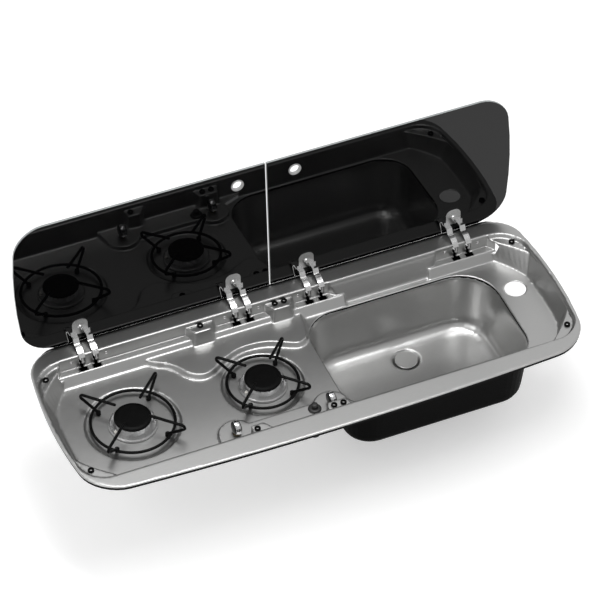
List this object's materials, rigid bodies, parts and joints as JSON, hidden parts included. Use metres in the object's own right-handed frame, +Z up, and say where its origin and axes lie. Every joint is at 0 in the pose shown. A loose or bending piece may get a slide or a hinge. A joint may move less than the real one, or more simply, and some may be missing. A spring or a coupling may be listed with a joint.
{
  "type": "hob_sink_combination",
  "caption": "Caravan hob and sink combination: a pressed steel deck with gas burners, wire pan supports, an inset basin and hinged black glass lids",
  "frame": {"origin": "the middle of the four corner fixing holes, on the top face of their pads", "axes": "+X along the length towards the basin, +Y to the hinged back edge, +Z up"},
  "size_m": [0.9, 0.3628, 0.4607],
  "materials": {
    "steel_brushed": "satin sheet steel with a fine matt grain",
    "steel_bright": "bright formed steel",
    "rubber_black": "black rubber",
    "coat_black": "black sprayed sound-deadening coat",
    "plastic_grey": "grey moulded plastic",
    "plastic_black": "black moulded plastic",
    "plastic_dark": "dark grey moulded plastic",
    "enamel_black": "satin black enamel",
    "glass_black": "black tinted toughened glass",
    "aluminium_cast": "cast and machined aluminium",
    "ceramic_white": "glazed white ceramic",
    "brass_plain": "machined brass",
    "chrome_knob": "chrome-plated"
  },
  "bodies": {
    "unit": {"deck": "steel_brushed", "rim_seal": "rubber_black", "buffers": "rubber_black", "basin": "steel_brushed", "basin_coat": "coat_black", "waste_body": "plastic_grey", "waste_nut": "plastic_black", "hinge_bracket_1": "steel_bright", "hinge_bracket_2": "steel_bright", "hinge_bracket_3": "steel_bright", "hinge_bracket_4": "steel_bright", "hinge_pins": "steel_bright", "hinge_springs": "steel_bright", "hinge_rivets": "steel_bright", "burner_base_left": "aluminium_cast", "burner_base_right": "aluminium_cast", "burner_head_left": "aluminium_cast", "burner_head_right": "aluminium_cast", "electrode_left": "ceramic_white", "electrode_right": "ceramic_white", "thermocouple_left": "brass_plain", "thermocouple_right": "brass_plain", "tap_body_left": "brass_plain", "tap_body_right": "brass_plain", "igniter_body": "plastic_black", "igniter_nut": "steel_bright", "gas_rail": "steel_bright", "feed_pipe_left": "aluminium_cast", "feed_pipe_right": "aluminium_cast"},
    "lid_left": {"hinge_leaf_1": "steel_bright", "hinge_leaf_2": "steel_bright", "lid_glass_left": "glass_black", "lid_grip_left": "plastic_grey", "lid_screws_left": "steel_bright", "lid_wires_left": "steel_bright"},
    "valve_left": {"tap_plug_left": "brass_plain"},
    "control_left": {"knob_left": "chrome_knob", "knob_cheeks_left": "plastic_dark", "spindle_left": "brass_plain"},
    "support_left": {"pan_support_left": "enamel_black", "support_feet_left": "rubber_black"},
    "cap_left": {"burner_cap_left": "enamel_black"},
    "lid_right": {"hinge_leaf_3": "steel_bright", "hinge_leaf_4": "steel_bright", "lid_glass_right": "glass_black", "lid_grip_right": "plastic_grey", "lid_screws_right": "steel_bright", "lid_wires_right": "steel_bright"},
    "valve_right": {"tap_plug_right": "brass_plain"},
    "control_right": {"knob_right": "chrome_knob", "knob_cheeks_right": "plastic_dark", "spindle_right": "brass_plain"},
    "support_right": {"pan_support_right": "enamel_black", "support_feet_right": "rubber_black"},
    "cap_right": {"burner_cap_right": "enamel_black"},
    "button": {"igniter_button": "plastic_grey"},
    "stopper": {"waste_plug": "steel_bright"}
  },
  "joints": [
    {"name": "lid_left_hinge", "type": "hinge", "parent": "unit", "child": "lid_left", "pos_m": [0, 0.149, -0.013], "axis": [-1, 0, 0], "range_deg": [-93, 0]},
    {"name": "lid_right_hinge", "type": "hinge", "parent": "unit", "child": "lid_right", "pos_m": [0, 0.149, -0.013], "axis": [-1, 0, 0], "range_deg": [-93, 0]},
    {"name": "tap_left_turn", "type": "hinge", "parent": "unit", "child": "valve_left", "pos_m": [-0.168, -0.099, -0.043], "axis": [0, 0, 1], "range_deg": [0, 190]},
    {"name": "knob_left_push", "type": "slide", "parent": "valve_left", "child": "control_left", "axis": [0, 0, -1], "range_m": [0, 0.003], "stiffness_N_per_m": 1500, "springref_m": -0.004},
    {"name": "tap_right_turn", "type": "hinge", "parent": "unit", "child": "valve_right", "pos_m": [-0.0015, -0.099, -0.043], "axis": [0, 0, 1], "range_deg": [0, 190]},
    {"name": "knob_right_push", "type": "slide", "parent": "valve_right", "child": "control_right", "axis": [0, 0, -1], "range_m": [0, 0.003], "stiffness_N_per_m": 1500, "springref_m": -0.004},
    {"name": "igniter_push", "type": "slide", "parent": "unit", "child": "button", "axis": [0, 0, -1], "range_m": [0, 0.004], "stiffness_N_per_m": 1500, "springref_m": -0.004},
    {"name": "pan_support_left_lift", "type": "slide", "parent": "unit", "child": "support_left", "axis": [0, 0, 1], "range_m": [0, 0.05]},
    {"name": "burner_cap_left_lift", "type": "slide", "parent": "unit", "child": "cap_left", "axis": [0, 0, 1], "range_m": [0, 0.008]},
    {"name": "pan_support_right_lift", "type": "slide", "parent": "unit", "child": "support_right", "axis": [0, 0, 1], "range_m": [0, 0.05]},
    {"name": "burner_cap_right_lift", "type": "slide", "parent": "unit", "child": "cap_right", "axis": [0, 0, 1], "range_m": [0, 0.008]},
    {"name": "stopper_lift", "type": "slide", "parent": "unit", "child": "stopper", "axis": [0, 0, 1], "range_m": [0, 0.06]}
  ]
}
